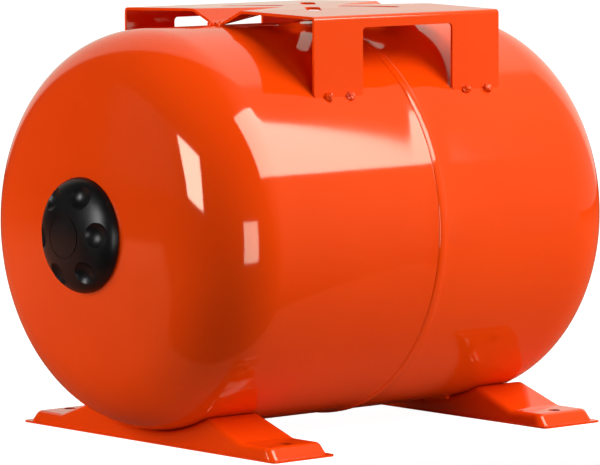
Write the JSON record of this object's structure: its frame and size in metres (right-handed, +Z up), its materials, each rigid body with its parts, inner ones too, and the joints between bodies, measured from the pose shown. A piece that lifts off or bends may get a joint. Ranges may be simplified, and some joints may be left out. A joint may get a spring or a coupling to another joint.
{
  "type": "bladder accumulator",
  "caption": "Horizontal steel pressure tank with a rubber bladder, a pump bracket on top, pressed feet, a gas valve under a guard cap and a flanged threaded water inlet.",
  "frame": {"origin": "on the floor under the girth weld, midway between the feet and on the plane of symmetry", "axes": "+X along the tank axis towards the water inlet, +Z up, +Y to the left of +X"},
  "size_m": [0.4504, 0.2826, 0.2996],
  "materials": {
    "orange_paint": "gloss orange enamel",
    "black_plastic": "satin moulded black",
    "zinc_steel": "bright zinc plating",
    "brass": "turned brass",
    "black_rubber": "moulded butyl rubber",
    "nylon_white": "natural nylon",
    "spring_steel": "drawn wire"
  },
  "bodies": {
    "tank": {"front_shell": "orange_paint", "rear_shell": "orange_paint", "girth_weld": "orange_paint", "pump_bracket": "orange_paint", "bracket_welds": "orange_paint", "front_foot": "orange_paint", "rear_foot": "orange_paint", "foot_welds": "orange_paint", "neck_ring": "orange_paint", "neck_weld": "orange_paint", "valve_boss": "orange_paint", "boss_weld": "orange_paint", "valve_gasket": "nylon_white", "valve_stem": "brass", "valve_core": "brass", "core_seal": "nylon_white", "valve_spring": "spring_steel", "dust_cap": "black_plastic", "bladder": "black_rubber", "counter_flange": "zinc_steel", "inlet_stub": "zinc_steel", "stub_weld": "zinc_steel", "flange_bolts": "zinc_steel"},
    "guard_cap": {"guard_cap": "black_plastic"},
    "valve_pin": {"valve_pin": "brass", "pin_seal": "black_rubber"}
  },
  "joints": [
    {"name": "guard_cap_off", "type": "slide", "parent": "tank", "child": "guard_cap", "axis": [-1, 0, 0], "range_m": [0, 0.05]},
    {"name": "valve_pin_press", "type": "slide", "parent": "tank", "child": "valve_pin", "axis": [1, 0, 0], "range_m": [0, 0.0012], "stiffness_N_per_m": 300, "springref_m": -0.0015, "deforming": ["valve_spring"]}
  ]
}
